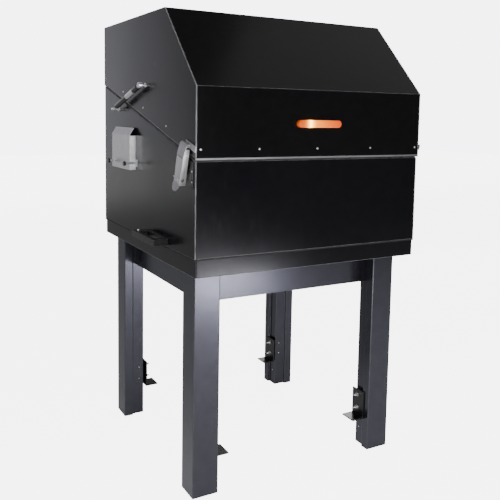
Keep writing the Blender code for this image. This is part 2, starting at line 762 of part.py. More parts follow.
def make_hood_rim():
    """Bright rim under the hood's edge, on all four sides."""
    bm = bmesh.new()
    below = LID_EDGE - GAP - RIM_THICK
    add_sloped_frame(bm, HALF, FRONT, REAR, RIM_WIDTH, below, LID_EDGE - GAP)
    finish(bm, "hood_rim", "bright_rim")


def make_hood_foam():
    """Foam in the hood: one folded lining for front, slope and top, two sides and the rear."""
    skin = SHEET + GAP
    outer = HALF - skin
    inner = outer - FOAM
    across = inner - GAP
    bottom = LID_EDGE + GAP
    front_y, rear_y = FRONT + skin, REAR - skin
    ceiling = TOP - skin

    side_board = [
        (front_y, split(front_y) + bottom), *wrap_line(skin)[1:],
        (rear_y, ceiling), (rear_y, split(rear_y) + bottom),
    ]
    for name, x0, x1 in (("left", -outer, -inner), ("right", inner, outer)):
        bm = bmesh.new()
        add_prism(bm, side_board, "X", x0, x1)
        finish(bm, "hood_foam_" + name, "foam")

    deep = front_y + FOAM
    lining = [
        (front_y, split(front_y) + bottom), *wrap_line(skin)[1:], (rear_y, ceiling),
        (rear_y, ceiling - FOAM), *wrap_line(skin + FOAM)[:0:-1], (deep, split(deep) + bottom),
    ]
    bm = bmesh.new()
    add_prism(bm, lining, "X", -across, across)
    finish(bm, "hood_foam_front_and_top", "foam")

    deep, top = rear_y - FOAM, ceiling - FOAM - GAP
    rear_board = [
        (deep, split(deep) + bottom), (rear_y, split(rear_y) + bottom), (rear_y, top), (deep, top),
    ]
    bm = bmesh.new()
    add_prism(bm, rear_board, "X", -across, across)
    finish(bm, "hood_foam_rear", "foam")


def stadium(length, height, steps=6):
    """Outline in X and Z of a bar with round ends, centred on the status light."""
    radius = height / 2
    points = []
    for end in (1, -1):
        for step in range(steps + 1):
            angle = math.radians(-90 + 180 * step / steps)
            x = end * (length / 2 - radius + radius * math.cos(angle))
            points.append((x, LIGHT_Z + end * radius * math.sin(angle)))
    return points


def make_status_light():
    """Orange lens with a bevelled rim, hollow behind, and the lamp board inside it."""
    back = FRONT - GAP
    face = FRONT - LIGHT_PROUD
    bevel = 0.003
    rings = [
        (back, stadium(LIGHT_LENGTH, LIGHT_HEIGHT)),
        (face + bevel, stadium(LIGHT_LENGTH, LIGHT_HEIGHT)),
        (face, stadium(LIGHT_LENGTH - 2 * bevel, LIGHT_HEIGHT - 2 * bevel)),
    ]
    hollow = stadium(LIGHT_LENGTH - 2 * LIGHT_WALL, LIGHT_HEIGHT - 2 * LIGHT_WALL)
    inner = [(back, hollow), (face + bevel + 0.001, hollow)]
    bm = bmesh.new()
    loops = [[bm.verts.new((x, y, z)) for x, z in ring] for y, ring in rings]
    holes = [[bm.verts.new((x, y, z)) for x, z in ring] for y, ring in inner]
    count = len(loops[0])
    chain = [holes[1], holes[0]] + loops
    for first, second in zip(chain, chain[1:]):
        for i in range(count):
            j = (i + 1) % count
            bm.faces.new((first[i], second[i], second[j], first[j]))
    bm.faces.new(loops[-1])
    bm.faces.new(reversed(holes[1]))
    finish(bm, "status_light_lens", "orange_lens")
    bm = bmesh.new()
    slim = 2 * (LIGHT_WALL + GAP)
    add_prism(bm, stadium(LIGHT_LENGTH - slim, LIGHT_HEIGHT - slim), "Y", back - 0.0016, back)
    finish(bm, "status_light_board", "light_board")


# ---------------------------------------------------------------- gas struts
def strut_ends(side):
    """Lower pivot on the tub and upper pivot on the hood."""
    x = side * (HALF + STRUT_OUT)
    low = Vector((x, FRONT + DEPTH_STRUT_LOW, STRUT_LOW_Z))
    high = Vector((x, FRONT + DEPTH_STRUT_HIGH, STRUT_HIGH_Z))
    return low, high


def make_gas_struts():
    for name, side in (("left", -1), ("right", 1)):
        low, high = strut_ends(side)
        down = (low - high).normalized()
        length = (low - high).length
        out = (side, 0, 0)
        half = STRUT_SOCKET_HALF
        socket = [(-half, STRUT_SOCKET_R), (half - 0.0017, STRUT_SOCKET_R), (half, 0.0050)]

        bm = bmesh.new()
        tube = [
            (STRUT_TUBE_FROM, 0.0055), (STRUT_TUBE_FROM + 0.004, STRUT_TUBE_R),
            (STRUT_TUBE_TO, STRUT_TUBE_R),
        ]
        add_turned(bm, tube, high, down, 16)
        cylinder = finish(bm, "strut_cylinder_" + name, "black_hardware", origin=high, smooth=True)
        eye = bmesh.new()
        add_turned(eye, socket, high, out, 14)
        boolean(cylinder, tool_object(eye, "strut_eye_" + name), "UNION")
        neck = bmesh.new()
        add_turned(neck, [(0.003, 0.0040), (STRUT_TUBE_FROM + 0.002, 0.0040)], high, down, 12)
        boolean(cylinder, tool_object(neck, "strut_neck_" + name), "UNION")
        bore = bmesh.new()
        add_turned(bore, [(STRUT_ROD_FROM - 0.002, 0.0044), (0.30, 0.0044)], high, down, 12)
        boolean(cylinder, tool_object(bore, "strut_bore_" + name), "DIFFERENCE")

        bm = bmesh.new()
        add_turned(bm, [(STRUT_ROD_FROM, STRUT_ROD_R), (length - 0.004, STRUT_ROD_R)], high, down, 12)
        rod = finish(bm, "strut_rod_" + name, "stainless", origin=low, smooth=True)
        ball = bmesh.new()
        add_turned(ball, socket, low, out, 14)
        boolean(rod, tool_object(ball, "strut_ball_" + name), "UNION")


def make_strut_studs():
    """Ball studs that the struts hang on, on the tub and on the hood."""
    end = STRUT_OUT - STRUT_SOCKET_HALF - GAP
    for height, index, foot in (("lower", 0, GAP - TUB_SIDE_INSET), ("upper", 1, GAP)):
        for name, side in (("left", -1), ("right", 1)):
            pivot = strut_ends(side)[index]
            profile = [(foot, 0.0075), (0.0035, 0.0075), (0.0036, 0.0040), (end, 0.0040)]
            bm = bmesh.new()
            add_turned(bm, profile, (side * HALF, pivot.y, pivot.z), (side, 0, 0), 12)
            finish(bm, f"strut_stud_{height}_{name}", "zinc", smooth=True)


# ---------------------------------------------------------------- rear hinges
def make_hinges():
    """Two butt hinges across the split at the rear: a leaf on each half, with the pin."""
    third = HINGE_WIDTH / 6
    outer_knuckles = ((-HINGE_WIDTH / 2, -third - GAP), (third + GAP, HINGE_WIDTH / 2))
    for name, x in (("left", -HINGE_X), ("right", HINGE_X)):
        axis = (x, HINGE_Y, HINGE_Z)
        make_hinge_leaf("hinge_leaf_hood_" + name, axis, 1, ((-third, third),), False)
        make_hinge_leaf("hinge_leaf_tub_" + name, axis, -1, outer_knuckles, True)


def make_hinge_leaf(name, axis, up, knuckles, with_pin):
    """A flat leaf with rolled knuckles, and the pin through them on one of the two."""
    x, face = axis[0], REAR + GAP
    near, far = HINGE_Z + up * 0.003, HINGE_Z + up * (0.003 + HINGE_LEAF_HEIGHT)
    half = HINGE_WIDTH / 2
    bm = bmesh.new()
    add_box(bm, (x - half, face, min(near, far)), (x + half, face + HINGE_LEAF, max(near, far)))
    leaf = finish(bm, name, "black_hardware")
    arm = sorted((HINGE_Z, HINGE_Z + up * 0.0055))
    for index, (start, end) in enumerate(knuckles):
        web, roll = bmesh.new(), bmesh.new()
        add_box(web, (x + start, face, arm[0]), (x + end, HINGE_Y, arm[1]))
        boolean(leaf, tool_object(web, f"{name}_web_{index}"), "UNION")
        add_turned(roll, [(start, HINGE_KNUCKLE_R), (end, HINGE_KNUCKLE_R)], axis, (1, 0, 0), 16)
        boolean(leaf, tool_object(roll, f"{name}_roll_{index}"), "UNION")
    centre = bmesh.new()
    if with_pin:
        add_turned(centre, [(-half - 0.001, HINGE_PIN_R), (half + 0.001, HINGE_PIN_R)], axis, (1, 0, 0), 12)
        boolean(leaf, tool_object(centre, name + "_pin"), "UNION")
    else:
        bore = HINGE_PIN_R + 0.0004
        add_turned(centre, [(-half, bore), (half, bore)], axis, (1, 0, 0), 12)
        boolean(leaf, tool_object(centre, name + "_bore"), "DIFFERENCE")


# ---------------------------------------------------------------- build
clear_scene()
make_legs()
make_aprons()
make_shelf_brackets()
make_base_pan()
make_tub_panels()
make_tub_rim_and_gasket()
make_tub_foam()
make_cable_port()
make_cable_cover()
make_thumb_screws()
make_side_handles()
make_latch("left", -1)
make_latch("right", 1)
make_keepers()
make_hood_panels()
make_hood_rim()
make_hood_foam()
make_status_light()
make_gas_struts()
make_strut_studs()
make_hinges()
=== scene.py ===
"""Looks for the microscope acoustic enclosure: materials, small fasteners, floor, light, camera.

The CAD frame gives every large shape. This script adds the fasteners and thin trim that are too
small for it, and gives each surface a procedural material. Units are metres.
"""

import json
import math

import bmesh
import bpy
from mathutils import Matrix, Vector


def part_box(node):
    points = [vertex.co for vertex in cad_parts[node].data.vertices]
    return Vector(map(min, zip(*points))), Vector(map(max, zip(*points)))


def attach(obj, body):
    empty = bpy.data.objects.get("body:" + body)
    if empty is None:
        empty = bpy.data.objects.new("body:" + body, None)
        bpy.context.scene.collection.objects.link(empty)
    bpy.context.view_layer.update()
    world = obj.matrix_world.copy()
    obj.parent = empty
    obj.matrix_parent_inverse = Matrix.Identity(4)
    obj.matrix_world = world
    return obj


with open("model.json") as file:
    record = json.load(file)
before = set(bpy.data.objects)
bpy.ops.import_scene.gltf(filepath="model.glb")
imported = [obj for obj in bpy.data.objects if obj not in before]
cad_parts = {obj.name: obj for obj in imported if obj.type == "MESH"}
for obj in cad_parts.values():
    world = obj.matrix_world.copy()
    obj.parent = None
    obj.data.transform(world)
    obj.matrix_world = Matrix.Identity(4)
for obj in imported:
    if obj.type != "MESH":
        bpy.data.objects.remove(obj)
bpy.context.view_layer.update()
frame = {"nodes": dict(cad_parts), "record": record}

NODES = frame["nodes"]
ROOT = "tub_and_stand"
HOOD = "hood"
SIDES = (("left", -1), ("right", 1))

# ---------------------------------------------------------------- places read from the frame
hood_low, hood_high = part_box("hood_wrap")
FRONT = hood_low.y
REAR = hood_high.y
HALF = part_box("hood_panel_right")[1].x
TUB_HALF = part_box("tub_panel_right")[1].x
TUB_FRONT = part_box("tub_panel_front")[0].y
TUB_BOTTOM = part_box("tub_panel_front")[0].z
rim_low, rim_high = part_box("hood_rim")
RIM_HEIGHT = 0.005                      # the rim's own thickness
SPLIT_SLOPE = (rim_high.z - rim_low.z - RIM_HEIGHT) / (REAR - FRONT)


def rim_top(y):
    """Height of the hood's lower edge at a depth."""
    return rim_low.z + RIM_HEIGHT + SPLIT_SLOPE * (y - FRONT)


# ---------------------------------------------------------------- node helpers
def new_material(name):
    """An empty Principled material, its node tree and its shader."""
    made = bpy.data.materials.new(name)
    made.use_nodes = True
    tree = made.node_tree
    return made, tree, tree.nodes["Principled BSDF"]


def set_input(tree, socket, value):
    """Links a socket to another, or gives it a constant."""
    if isinstance(value, bpy.types.NodeSocket):
        tree.links.new(value, socket)
    else:
        socket.default_value = value


def object_place(tree, stretch=(1.0, 1.0, 1.0)):
    """Object coordinates in metres, stretched along the axes."""
    source = tree.nodes.new("ShaderNodeTexCoord")
    mapping = tree.nodes.new("ShaderNodeMapping")
    mapping.inputs["Scale"].default_value = stretch
    tree.links.new(source.outputs["Object"], mapping.inputs["Vector"])
    return mapping.outputs["Vector"]


def split_axes(tree, vector):
    """The outputs X, Y and Z of a vector."""
    made = tree.nodes.new("ShaderNodeSeparateXYZ")
    tree.links.new(vector, made.inputs["Vector"])
    return made.outputs


def noise(tree, place, scale, detail=2.0):
    """Soft random value, about 0.5 on average."""
    made = tree.nodes.new("ShaderNodeTexNoise")
    made.inputs["Scale"].default_value = scale
    made.inputs["Detail"].default_value = detail
    tree.links.new(place, made.inputs["Vector"])
    return made.outputs["Fac"]


def spread(tree, value, low, high, start=0.3, end=0.7):
    """Maps a value from start..end to low..high."""
    made = tree.nodes.new("ShaderNodeMapRange")
    for name, number in (("From Min", start), ("From Max", end), ("To Min", low), ("To Max", high)):
        made.inputs[name].default_value = number
    tree.links.new(value, made.inputs["Value"])
    return made.outputs["Result"]


def blend(tree, factor, first, second):
    """Mixes two colours."""
    made = tree.nodes.new("ShaderNodeMix")
    made.data_type = "RGBA"
    set_input(tree, made.inputs[0], factor)
    set_input(tree, made.inputs[6], first)
    set_input(tree, made.inputs[7], second)
    return made.outputs[2]


def combine(tree, operation, first, second):
    """A math node that keeps its result within 0 and 1."""
    made = tree.nodes.new("ShaderNodeMath")
    made.operation = operation
    made.use_clamp = True
    set_input(tree, made.inputs[0], first)
    set_input(tree, made.inputs[1], second)
    return made.outputs["Value"]


def combine_signed(tree, operation, first, second):
    """A math node that keeps values below 0 and above 1."""
    made = tree.nodes.new("ShaderNodeMath")
    made.operation = operation
    set_input(tree, made.inputs[0], first)
    set_input(tree, made.inputs[1], second)
    return made.outputs["Value"]


def rounded_normal(tree, radius):
    """Shading normal that rounds every edge by a radius."""
    made = tree.nodes.new("ShaderNodeBevel")
    made.samples = 6
    made.inputs["Radius"].default_value = radius
    return made.outputs["Normal"]


def edge_mask(tree, radius):
    """1 on edges, 0 on flat faces, from how far the rounded normal turns away."""
    geometry = tree.nodes.new("ShaderNodeNewGeometry")
    dot = tree.nodes.new("ShaderNodeVectorMath")
    dot.operation = "DOT_PRODUCT"
    tree.links.new(rounded_normal(tree, radius), dot.inputs[0])
    tree.links.new(geometry.outputs["Normal"], dot.inputs[1])
    return spread(tree, dot.outputs["Value"], 1.0, 0.0, start=0.80, end=0.985)


def bump(tree, height, strength, distance, normal=None):
    """Shading normal of a height, on top of another normal."""
    made = tree.nodes.new("ShaderNodeBump")
    made.inputs["Strength"].default_value = strength
    made.inputs["Distance"].default_value = distance
    tree.links.new(height, made.inputs["Height"])
    if normal is not None:
        tree.links.new(normal, made.inputs["Normal"])
    return made.outputs["Normal"]


def grey(value, warmth=0.0):
    """A grey, bluer for a warmth below 0."""
    return (value, value, value * (1 - warmth), 1.0)


# ---------------------------------------------------------------- materials
def powder_coat(name, shade, warmth, roughness, edge_wear_and_highlight, edge, metallic=0.0, uneven=1.0, ior=1.5):
    """Fine-textured paint: cloudy gloss, faint mottling, and lighter, duller edges, lighter partly
    from wear and partly as a painted highlight.

    worn is the shade of the edges, wear and painted highlight in one, edge their radius, and uneven
    the strength of the mottling.
    """
    made, tree, shader = new_material(name)
    place = object_place(tree)
    clouds = noise(tree, place, 3.5, 4.0)
    mottle = noise(tree, place, 38.0, 5.0)
    grain = noise(tree, place, 900.0, 2.0)
    scuffs = noise(tree, object_place(tree, (60.0, 60.0, 9.0)), 3.0, 6.0)
    edges = edge_mask(tree, edge)
    dark = grey(shade * (1 - 0.18 * uneven), warmth)
    light = grey(shade * (1 + 0.22 * uneven), warmth)
    body = blend(tree, spread(tree, mottle, 0.0, 1.0), dark, light)
    # painted highlight: the edges are blended towards the edge shade, partly as wear
    edge_wear_and_highlight_mask = combine(tree, "MULTIPLY", edges, spread(tree, mottle, 0.55, 1.0))
    tree.links.new(blend(tree, edge_wear_and_highlight_mask, body, grey(edge_wear_and_highlight)), shader.inputs["Base Color"])
    gloss = spread(tree, clouds, roughness - 0.035 * uneven, roughness + 0.045 * uneven)
    duller = spread(tree, scuffs, 0.0, 0.05 * uneven, start=0.52, end=0.75)
    tree.links.new(combine(tree, "ADD", gloss, duller), shader.inputs["Roughness"])
    shader.inputs["Metallic"].default_value = metallic
    shader.inputs["IOR"].default_value = ior
    normal = bump(tree, grain, 0.02, 0.0002, rounded_normal(tree, edge))
    tree.links.new(normal, shader.inputs["Normal"])
    return made


def paint_rim_shade(tree, colour, dark):
    """Painted shade on the rim: darkens it where it faces left or right, and paints a shadow along
    its lower lip at the front.
    """
    geometry = tree.nodes.new("ShaderNodeNewGeometry")
    facing = split_axes(tree, geometry.outputs["Normal"])
    # painted shade on the faces that look left or right
    sideways = combine_signed(tree, "ABSOLUTE", facing["X"], 0.0)
    colour = blend(tree, spread(tree, sideways, 0.0, 1.0, start=0.5, end=0.8), colour, grey(dark))
    height = split_axes(tree, object_place(tree))["Z"]
    lip_from, lip_to = rim_low.z + 0.0012, rim_low.z + 0.0020
    # painted shadow along the rim's lower lip
    lip = spread(tree, height, 1.0, 0.0, start=lip_from, end=lip_to)
    return blend(tree, lip, colour, grey(dark))


def brushed_metal(name, shade, roughness, along, edge=0.0006, rim_painted_shade=None):
    """Metal with fine parallel scratches, smudges and bright edges, whose light grey is a painted
    highlight.

    along stretches the scratches, and rim_painted_shade is the colour of the painted shade and
    shadow on the hood rim.
    """
    made, tree, shader = new_material(name)
    scratches = noise(tree, object_place(tree, along), 220.0, 3.0)
    smudges = noise(tree, object_place(tree), 22.0, 4.0)
    edges = edge_mask(tree, edge)
    smudged = spread(tree, smudges, 0.0, 1.0)
    body = blend(tree, smudged, grey(shade * 0.80, -0.01), grey(shade * 1.08, -0.01))
    streaked = blend(tree, spread(tree, scratches, 0.0, 0.35), body, grey(shade * 0.62))
    # painted shade on the rim's sides and painted shadow under its lip
    if rim_painted_shade is not None:
        streaked = paint_rim_shade(tree, streaked, rim_painted_shade)
    # painted highlight: the edges are blended to a light grey
    tree.links.new(blend(tree, edges, streaked, grey(0.86)), shader.inputs["Base Color"])
    shader.inputs["Metallic"].default_value = 1.0
    rough = combine(tree, "ADD", spread(tree, scratches, roughness - 0.06, roughness + 0.08),
                    spread(tree, smudges, 0.0, 0.10))
    tree.links.new(rough, shader.inputs["Roughness"])
    normal = bump(tree, scratches, 0.12, 0.0003, rounded_normal(tree, edge))
    tree.links.new(normal, shader.inputs["Normal"])
    return made


def foam():
    """Open-cell acoustic foam: pores of two sizes and a soft sheen."""
    made, tree, shader = new_material("foam")
    place = object_place(tree)
    pores = tree.nodes.new("ShaderNodeTexVoronoi")
    pores.inputs["Scale"].default_value = 420.0
    tree.links.new(place, pores.inputs["Vector"])
    depth = pores.outputs["Distance"]
    fine = noise(tree, place, 1100.0, 3.0)
    cells = combine(tree, "MULTIPLY", spread(tree, depth, 1.0, 0.35, start=0.05, end=0.6), fine)
    shade = blend(tree, cells, grey(0.010), grey(0.060, -0.02))
    patches = spread(tree, noise(tree, place, 9.0, 3.0), 0.0, 0.3)
    tree.links.new(blend(tree, patches, shade, grey(0.020)), shader.inputs["Base Color"])
    tree.links.new(spread(tree, fine, 0.88, 1.0), shader.inputs["Roughness"])
    shader.inputs["Sheen Weight"].default_value = 0.25
    tree.links.new(bump(tree, cells, 0.7, 0.0012), shader.inputs["Normal"])
    return made


def rubber(name):
    """Matt black sponge rubber with a fine skin texture and a little dust."""
    made, tree, shader = new_material(name)
    place = object_place(tree)
    skin = noise(tree, place, 700.0, 3.0)
    dust = spread(tree, noise(tree, place, 30.0, 5.0), 0.0, 0.5, start=0.5, end=0.8)
    tree.links.new(blend(tree, dust, grey(0.007), grey(0.030)), shader.inputs["Base Color"])
    tree.links.new(spread(tree, skin, 0.62, 0.85), shader.inputs["Roughness"])
    tree.links.new(bump(tree, skin, 0.25, 0.0004), shader.inputs["Normal"])
    return made


def orange_lens():
    """Translucent orange plastic, glowing from a lamp behind it, with a painted highlight: a bright
    yellow glow left of its middle.
    """
    made, tree, shader = new_material("orange_lens")
    across = split_axes(tree, object_place(tree))["X"]
    low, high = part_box("status_light_lens")
    length = high.x - low.x

    def glow(centre, reach):
        """1 at a share of the lens's length, falling to 0 at a distance from it."""
        away = combine_signed(tree, "SUBTRACT", across, low.x + centre * length)
        distance = combine_signed(tree, "ABSOLUTE", away, 0.0)
        falling = spread(tree, distance, 1.0, 0.0, start=0.0, end=reach * length)
        return combine(tree, "MULTIPLY", falling, falling)

    # painted highlight: a small bright yellow glow left of the middle, drawn as emission
    painted_highlight = glow(0.27, 0.16)
    wide = glow(0.42, 0.80)
    plastic = blend(tree, wide, (0.85, 0.075, 0.004, 1.0), (1.0, 0.26, 0.010, 1.0))
    tree.links.new(plastic, shader.inputs["Base Color"])
    light = blend(tree, painted_highlight, plastic, (1.0, 0.62, 0.10, 1.0))
    tree.links.new(light, shader.inputs["Emission Color"])
    wide_strength = spread(tree, wide, 0.40, 1.5, start=0.0, end=1.0)
    hot_strength = spread(tree, painted_highlight, 0.0, 9.0, start=0.0, end=1.0)
    brightness = combine_signed(tree, "ADD", wide_strength, hot_strength)
    dim_end = spread(tree, across, 0.12, 1.0, start=low.x, end=low.x + 0.24 * length)
    strength = combine_signed(tree, "MULTIPLY", brightness, dim_end)
    tree.links.new(strength, shader.inputs["Emission Strength"])
    swirl = noise(tree, object_place(tree), 60.0, 3.0)
    tree.links.new(spread(tree, swirl, 0.16, 0.30), shader.inputs["Roughness"])
    shader.inputs["Coat Weight"].default_value = 0.4
    ripple = noise(tree, object_place(tree), 500.0)
    normal = bump(tree, ripple, 0.05, 0.0003, rounded_normal(tree, 0.0008))
    tree.links.new(normal, shader.inputs["Normal"])
    return made


def circuit_board():
    """White solder mask with faint weave."""
    made, tree, shader = new_material("light_board")
    weave = noise(tree, object_place(tree, (1.0, 1.0, 6.0)), 500.0, 2.0)
    mask = blend(tree, weave, grey(0.70, 0.01), grey(0.88, 0.02))
    tree.links.new(mask, shader.inputs["Base Color"])
    tree.links.new(spread(tree, weave, 0.35, 0.55), shader.inputs["Roughness"])
    tree.links.new(bump(tree, weave, 0.1, 0.0002), shader.inputs["Normal"])
    return made


MATERIALS = {
    "hood_paint": powder_coat("hood_paint", 0.0040, -0.10, 0.19, 0.60, edge=0.0026, ior=1.36),
    "tub_paint": powder_coat("tub_paint", 0.0040, -0.30, 0.19, 0.45, edge=0.0026, ior=1.36),
    "stand_paint": powder_coat("stand_paint", 0.084, -0.20, 0.24, 0.42, edge=0.0022, metallic=0.92,
                               uneven=0.3),
    "black_hardware": powder_coat("black_hardware", 0.006, 0.0, 0.26, 0.20, edge=0.0008),
    "stainless": brushed_metal("stainless", 0.74, 0.32, (9.0, 9.0, 1.0)),
    "bright_rim": brushed_metal("bright_rim", 0.42, 0.40, (8.0, 8.0, 1.0), rim_painted_shade=0.015),
    "zinc": brushed_metal("zinc", 0.96, 0.30, (3.0, 3.0, 3.0), edge=0.0003),
    "foam": foam(),
    "gasket": rubber("gasket"),
    "orange_lens": orange_lens(),
    "light_board": circuit_board(),
}


def paint_frame():
    """Gives each CAD node the finish of its material slot."""
    for part in frame["record"]["subparts"]:
        mesh = NODES[part["node"]].data
        mesh.materials.clear()
        mesh.materials.append(MATERIALS[part["material_slot"]])


paint_frame()


# ---------------------------------------------------------------- piece helpers
def add_turned(bm, profile, centre, direction, segments=16, ring_shape=False):
    """Turns a profile of (radius, distance along) about a line, into a solid or an open ring."""
    turn = Vector(direction).normalized().to_track_quat("Z", "Y")
    rings = []
    for radius, along in profile:
        ring = []
        for i in range(segments):
            angle = 2 * math.pi * i / segments
            local = Vector((radius * math.cos(angle), radius * math.sin(angle), along))
            ring.append(bm.verts.new(Vector(centre) + turn @ local))
        rings.append(ring)
    if ring_shape:
        rings.append(rings[0])
    else:
        bm.faces.new(rings[0])
        bm.faces.new(reversed(rings[-1]))
    for first, second in zip(rings, rings[1:]):
        for i in range(segments):
            j = (i + 1) % segments
            bm.faces.new((first[i], second[i], second[j], first[j]))


def dome(radius, height, steps=4):
    """Profile of a round head that stands on a surface, sunk in it a little."""
    points = [(radius, -0.0004)]
    for step in range(steps + 1):
        angle = 0.92 * math.pi / 2 * step / steps
        points.append((radius * math.cos(angle), height * math.sin(angle)))
    return points


def piece(bm, name, body, slot, smooth=True):
    """Makes a bmesh a piece that rides on a body and wears a slot's finish."""
    bmesh.ops.recalc_face_normals(bm, faces=bm.faces)
    mesh = bpy.data.meshes.new(name)
    bm.to_mesh(mesh)
    bm.free()
    if smooth:
        mesh.shade_smooth()
        mesh.set_sharp_from_angle(angle=math.radians(40))
    mesh.materials.append(MATERIALS[slot])
    made = bpy.data.objects.new(name, mesh)
    bpy.context.scene.collection.objects.link(made)
    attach(made, body)
    return made


# ---------------------------------------------------------------- fasteners
def hood_rivets():
    """Bright rivets along the hood's lower edge, at the front and on both sides."""
    pitch, above_edge, from_corner = 0.190, 0.024, 0.015
    rivet = dome(0.0031, 0.0013)
    bm = bmesh.new()
    for index in range(-2, 3):
        x = index * pitch if abs(index) < 2 else math.copysign(HALF - from_corner, index)
        add_turned(bm, rivet, (x, FRONT, rim_top(FRONT) + above_edge), (0, -1, 0))
    piece(bm, "hood_rivets_front", HOOD, "zinc")
    for name, side in SIDES:
        bm = bmesh.new()
        for index in range(1, 5):
            y = FRONT + from_corner + index * pitch
            add_turned(bm, rivet, (side * HALF, y, rim_top(y) + above_edge), (side, 0, 0))
        piece(bm, "hood_rivets_" + name, HOOD, "zinc")


def legs():
    """Each leg's name, side, inward way in depth, outer depth, and outer and inner face across."""
    for end, inward in (("front", 1), ("rear", -1)):
        for name, side in SIDES:
            low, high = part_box(f"leg_{end}_{name}")
            outer_y = low.y if inward > 0 else high.y
            outer_x, inner_x = (low.x, high.x) if side < 0 else (high.x, low.x)
            yield f"{end}_{name}", side, inward, outer_y, outer_x, inner_x


def bracket_bolts():
    """Two bolts with a washer and a nut through each shelf bracket."""
    plate, from_corner = 0.0043, 0.052
    washer = [(0.0068, 0.0), (0.0068, 0.0012)]
    nut = [(0.0052, 0.0012), (0.0058, 0.0018), (0.0058, 0.0058), (0.0052, 0.0064)]
    shank = [(0.0029, 0.0), (0.0029, 0.0150), (0.0021, 0.0160)]
    for name, side, inward, outer_y, _, inner_x in legs():
        bm = bmesh.new()
        for z in (0.170, 0.127):
            base = (inner_x - side * plate, outer_y + inward * from_corner, z)
            for profile, segments in ((washer, 20), (nut, 6), (shank, 16)):
                add_turned(bm, profile, base, (-side, 0, 0), segments)
        piece(bm, "bracket_bolts_" + name, ROOT, "zinc")


def leg_screws():
    """Small screws low on each leg: two beside the bracket and one near the foot."""
    screw = dome(0.0022, 0.0011)
    step = 0.0725                       # from a leg's outer face to the inside of its corner step
    for name, side, inward, outer_y, outer_x, _ in legs():
        bm = bmesh.new()
        for z in (0.170, 0.129):
            centre = (outer_x - side * 0.056, outer_y + inward * step, z)
            add_turned(bm, screw, centre, (0, inward, 0), 12)
        low_screw = (outer_x - side * step, outer_y + inward * 0.055, 0.055)
        add_turned(bm, screw, low_screw, (-side, 0, 0), 12)
        piece(bm, "leg_screws_" + name, ROOT, "zinc")


def handle_screws():
    """A socket screw in each handle's rear end block."""
    screw = [(0.0044, -0.0003), (0.0044, 0.0022), (0.0038, 0.0028),
             (0.0020, 0.0028), (0.0020, 0.0010)]
    for name, side in SIDES:
        low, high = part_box("side_handle_" + name)
        outer = low.x if side < 0 else high.x
        bm = bmesh.new()
        add_turned(bm, screw, (outer - side * 0.018, high.y - 0.012, high.z), (0, 0, 1), 18)
        piece(bm, "handle_screws_" + name, ROOT, "zinc")


def lever_crease(name, side):
    """Thin raised crease across a lever's face, square to its length."""
    low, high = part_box("latch_lever_" + name)
    lean = math.atan(SPLIT_SLOPE)
    across = Vector((0.0, math.cos(lean), math.sin(lean)))
    along = Vector((0.0, -math.sin(lean), math.cos(lean)))
    face = low.x if side < 0 else high.x
    middle = Vector((face, (low.y + high.y) / 2, (low.z + high.z) / 2 - 0.012))
    reach = 0.0165
    bm = bmesh.new()
    corners = []
    for out, half in ((-0.0010, 0.0009), (0.0004, 0.0004)):
        centre = middle + Vector((side * out, 0.0, 0.0))
        for u, v in ((-reach, -half), (reach, -half), (reach, half), (-reach, half)):
            corners.append(bm.verts.new(centre + across * u + along * v))
    bm.faces.new(corners[:4])
    bm.faces.new(corners[4:])
    for i in range(4):
        j = (i + 1) % 4
        bm.faces.new((corners[i], corners[j], corners[4 + j], corners[4 + i]))
    piece(bm, "lever_crease_" + name, "latch_lever_" + name, "zinc", smooth=False)


def latch_details():
    """Rivets on the latch plates, and the creases across the levers."""
    for name, side in SIDES:
        low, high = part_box("latch_base_" + name)
        plate = (low.x if side > 0 else high.x) + side * 0.0017
        bm = bmesh.new()
        for z in (low.z + 0.012, low.z + 0.040):
            for y in (low.y + 0.006, high.y - 0.006):
                add_turned(bm, dome(0.0024, 0.0010), (plate, y, z), (side, 0, 0), 12)
        piece(bm, "latch_rivets_" + name, ROOT, "zinc")
        lever_crease(name, side)


def strut_details():
    """A bright sleeve on each strut's tube, and bright covers on its ball sockets."""
    sleeve = [(0.0083, 0.060), (0.0086, 0.060), (0.0088, 0.0602),
              (0.0088, 0.1248), (0.0086, 0.125), (0.0083, 0.125)]
    neck = [(0.0060, 0.004), (0.0060, 0.0185), (0.0052, 0.0195)]
    socket = [(0.0079, -0.0070), (0.0079, 0.0062), (0.0070, 0.0074), (0.0040, 0.0080)]
    cap = [(0.0046, -0.0004), (0.0046, 0.0004), (0.0034, 0.0012)]
    for name, side in SIDES:
        upper_low, upper_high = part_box("strut_stud_upper_" + name)
        lower_low, lower_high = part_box("strut_stud_lower_" + name)
        high = (upper_low + upper_high) / 2
        low = (lower_low + lower_high) / 2
        high.x = low.x = side * (HALF + 0.018)
        down = (low - high).normalized()
        bm = bmesh.new()
        add_turned(bm, sleeve, high, down, 24, ring_shape=True)
        add_turned(bm, neck, high, down, 20)
        add_turned(bm, socket, high, (side, 0, 0), 20)
        piece(bm, "strut_sleeve_" + name, "strut_cylinder_" + name, "zinc")
        bm = bmesh.new()
        add_turned(bm, cap, (side * (HALF + 0.0252), low.y, low.z), (side, 0, 0), 18)
        piece(bm, "strut_cap_" + name, "strut_rod_" + name, "zinc")


